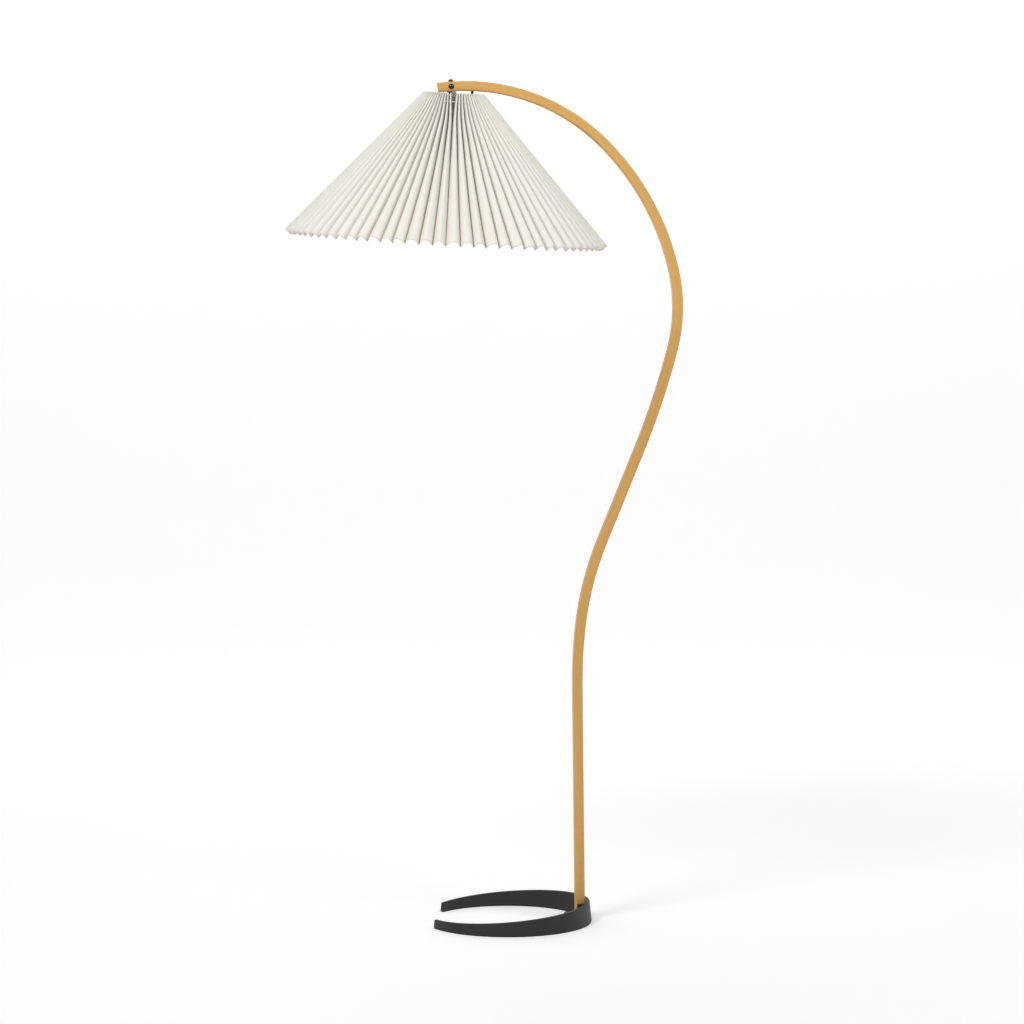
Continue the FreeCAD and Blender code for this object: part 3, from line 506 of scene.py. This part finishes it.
def pleated_sheet():
    across = pleats * steps_across + 1
    vertices, crease, painted_fold_shade = [], [], []
    for row in range(rows_down + 1):
        down = row / rows_down
        ridge = ridge_top + (ridge_bottom - ridge_top) * down
        fold = fold_top + (fold_bottom - fold_top) * down
        gap = seam_edge + seam_gap * max(0.0, 1.0 - down / seam_gap_ends) ** 2
        spread = (2.0 * math.pi - 2.0 * gap) / pleats
        loose = hold_at_top + (1.0 - hold_at_top) * down
        for column in range(across):
            pleat = min(column // steps_across, pleats - 1)
            t = (column - pleat * steps_across) / steps_across * 2.0 - 1.0
            side = pleat + (1 if t > 0 else 0)
            wave = noise(Vector((side * 7.3, down * 2.2, 0.0)))
            left = pleat + fold_shift[pleat] * loose
            right = pleat + 1 + fold_shift[pleat + 1] * loose
            top_at = (left + right) / 2.0 + ridge_lean[pleat] * 0.5 * loose
            if t <= 0:
                turn = top_at + t * (top_at - left)
            else:
                turn = top_at + t * (right - top_at)
            turn += panel_wave * wave * loose * (1.0 - abs(t) * (side in (0, pleats)))
            angle = seam_angle + gap + spread * turn
            sink = ridge_sink[pleat] * (1.0 - abs(t))
            depth = sink + (fold_depth[side] - sink) * abs(t) ** ridge_round[pleat]
            radius, height = ridge + (fold - ridge) * depth
            vertices.append((radius * math.cos(angle), radius * math.sin(angle), height))
            crease.append(abs(t))
            # painted shade, strongest in the upper inner folds next to the seam
            from_seam = min(side, pleats - side)
            upper = max(0.0, 1.0 - down / painted_shade_reach) * max(0.0, 1.0 - from_seam / painted_shade_folds)
            painted_fold_shade.append(min(1.0, painted_shade_depth * upper) * abs(t) ** 3)
    faces = []
    for row in range(rows_down):
        for column in range(across - 1):
            a = row * across + column
            faces.append((a, a + 1, a + across + 1, a + across))
    return vertices, faces, crease, painted_fold_shade, across


sheet_points, sheet_faces, sheet_crease, sheet_painted_fold_shade, sheet_across = pleated_sheet()
shade = link_mesh("pleated_shade", sheet_points, sheet_faces)
shade.data.transform(head_frame)
crease_layer = shade.data.attributes.new("crease", "FLOAT", "POINT")
crease_layer.data.foreach_set("value", np.array(sheet_crease, np.float32))
painted_fold_shade_layer = shade.data.attributes.new("painted_fold_shade", "FLOAT", "POINT")
painted_fold_shade_layer.data.foreach_set("value", np.array(sheet_painted_fold_shade, np.float32))
panel = float(np.hypot(*(np.linalg.norm(ridge_top - fold_top), ridge_top[0] * math.pi / pleats)))
sheet_width = 2.0 * pleats * panel
sheet_height = float(np.linalg.norm(ridge_bottom - ridge_top))
sheet_uv = shade.data.uv_layers.new(name="cloth")
for polygon in shade.data.polygons:
    for loop in polygon.loop_indices:
        vertex = shade.data.loops[loop].vertex_index
        row, column = divmod(vertex, sheet_across)
        along_cloth = column / (sheet_across - 1) * sheet_width
        sheet_uv.data[loop].uv = (along_cloth, 1.0 - row / rows_down * sheet_height)
sharp = np.zeros(len(shade.data.edges), bool)
for edge in shade.data.edges:
    a, b = edge.vertices
    if a % sheet_across == b % sheet_across and (a % sheet_across) % steps_across == 0:
        sharp[edge.index] = True
sharp_layer = shade.data.attributes.new("sharp_edge", "BOOLEAN", "EDGE")
sharp_layer.data.foreach_set("value", sharp)
thickness = shade.modifiers.new("thickness", "SOLIDIFY")
thickness.thickness = cloth_thickness
thickness.offset = 0.0

cloth, cloth_shader = plain_material("ivory_pleated_cloth", (0.86, 0.84, 0.78), 0.86)
cloth_tree = cloth.node_tree
cloth_uv = cloth_tree.nodes.new("ShaderNodeUVMap")
cloth_uv.uv_map = "cloth"
threads = []
for scale, bands in (((1.0, 0.02, 1.0), 2300.0), ((0.02, 1.0, 1.0), 2300.0)):
    line = noise_node(cloth_tree, stretched(cloth_tree, cloth_uv.outputs["UV"], scale), bands, 2.0, 0.6)
    threads.append(line)
weave = math_node(cloth_tree, "ADD", threads[0], threads[1])
weave = math_node(cloth_tree, "MULTIPLY", weave, 0.5)
blotch = noise_node(cloth_tree, cloth_uv.outputs["UV"], 14.0, 3.0, 0.55)
cloth_color = mix_node(cloth_tree, weave, (0.73, 0.705, 0.64), (0.84, 0.823, 0.778))
blotch_share = math_node(cloth_tree, "MULTIPLY", blotch, 0.22)
cloth_color = mix_node(cloth_tree, blotch_share, cloth_color, (0.80, 0.76, 0.66))
# Painted shade: every inner fold is painted brown-dark along its line, for the shade that gathers in it.
crease_value = cloth_tree.nodes.new("ShaderNodeAttribute")
crease_value.attribute_name = "crease"
crease_painted_shade = math_node(cloth_tree, "POWER", crease_value.outputs["Fac"], 10.0)
crease_painted_shade = math_node(cloth_tree, "MULTIPLY", crease_painted_shade, 0.9)
cloth_color = mix_node(cloth_tree, crease_painted_shade, cloth_color, (0.46, 0.36, 0.26))
# Painted shade: the upper inner folds next to the seam are darkened almost to black.
painted_fold_shade_value = cloth_tree.nodes.new("ShaderNodeAttribute")
painted_fold_shade_value.attribute_name = "painted_fold_shade"
cloth_color = mix_node(cloth_tree, painted_fold_shade_value.outputs["Fac"], cloth_color, (0.13, 0.11, 0.085))
cloth_tree.links.new(cloth_color, cloth_shader.inputs["Base Color"])
cloth_skin = cloth_tree.nodes.new("ShaderNodeBump")
cloth_skin.inputs["Strength"].default_value = 0.25
cloth_skin.inputs["Distance"].default_value = 0.00015
cloth_tree.links.new(weave, cloth_skin.inputs["Height"])
cloth_tree.links.new(cloth_skin.outputs["Normal"], cloth_shader.inputs["Normal"])
cloth_shader.inputs["Sheen Weight"].default_value = 0.15
wear(shade, cloth)
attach(shade, "shade")
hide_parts("shade_cover")


# The string: soft cotton twine threaded through the pleats below the top edge, and
# drawn up so that they stay together.
twine_radius = 0.0011
twine_below = 0.017
twine_plies = 3
twine_turns = 70
twine_out = 0.0045
ply_share = 0.58


def ring_of(name, radius, height, section, turns, plies):
    """Plies of twine laid round each other in a ring about the shade's axis."""
    vertices, faces = [], []
    around, about = 360, 6
    ply_radius = section * ply_share
    for ply in range(plies):
        start = len(vertices)
        for i in range(around):
            angle = 2.0 * math.pi * i / around
            twist = turns * angle + 2.0 * math.pi * ply / plies
            r = radius + (section - ply_radius) * math.cos(twist)
            z = height + (section - ply_radius) * math.sin(twist)
            for k in range(about):
                a = 2.0 * math.pi * k / about
                out = r + ply_radius * math.cos(a)
                rise = z + ply_radius * math.sin(a)
                vertices.append((out * math.cos(angle), out * math.sin(angle), rise))
        for i in range(around):
            for k in range(about):
                a, b = start + i * about + k, start + i * about + (k + 1) % about
                c = start + ((i + 1) % around) * about + (k + 1) % about
                d = start + ((i + 1) % around) * about + k
                faces.append((a, d, c, b))
    return link_mesh(name, vertices, faces)


string_height = ridge_top[1] - twine_below
string_share = twine_below / (ridge_top[1] - ridge_bottom[1])
string_radius = fold_top[0] + (fold_bottom[0] - fold_top[0]) * string_share + twine_out
string = ring_of("tie_twine", string_radius, string_height, twine_radius, twine_turns, twine_plies)
string.data.transform(head_frame)
twine, _ = speckled(
    "cotton_twine", (0.66, 0.62, 0.53), (0.84, 0.81, 0.73), 0.92, 0.05, 2400.0, 120.0, 0.0002
)
wear(string, twine)
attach(string, "shade")
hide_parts("shade_string")


# The carrier: a washer with three spokes and a ring of wire, welded and coated white,
# which holds the cloth out from the lampholder.
coated_wire, _ = speckled(
    "white_coated_wire", (0.70, 0.69, 0.66), (0.82, 0.81, 0.78), 0.38, 0.12, 900.0, 60.0, 0.00008
)
wear(nodes["shade_carrier"], coated_wire)


# The lampholder: cap, body and ring nut of black moulded phenolic, a glazed block, and
# a brass screw shell.
phenolic, _ = speckled(
    "black_phenolic", (0.014, 0.013, 0.013), (0.030, 0.027, 0.025), 0.24, 0.12, 800.0, 90.0, 0.00004
)
for name in ("holder_cap", "holder_body", "shade_ring_nut"):
    wear(nodes[name], phenolic)
glazed, glazed_shader = speckled(
    "glazed_block", (0.70, 0.68, 0.63), (0.82, 0.80, 0.76), 0.30, 0.10, 700.0, 80.0, 0.00008
)
glazed_shader.inputs["Coat Weight"].default_value = 0.4
wear(nodes["holder_block"], glazed)
wear(nodes["holder_shell"], brass)


# The bulb: an opal glass envelope in a thin aluminium screw cap.
opal, opal_shader = speckled(
    "opal_glass", (0.86, 0.86, 0.84), (0.93, 0.93, 0.92), 0.18, 0.06, 300.0, 25.0, 0.00003
)
opal_shader.inputs["Coat Weight"].default_value = 0.5
opal_shader.inputs["Coat Roughness"].default_value = 0.06
wear(nodes["bulb_glass"], opal)
bulb_metal = lined_metal(
    "bulb_cap_metal", (0.55, 0.55, 0.55), (0.78, 0.78, 0.77), 0.30, (300.0, 300.0, 2600.0)
)
for name in ("bulb_cap", "bulb_contact"):
    wear(nodes[name], bulb_metal)
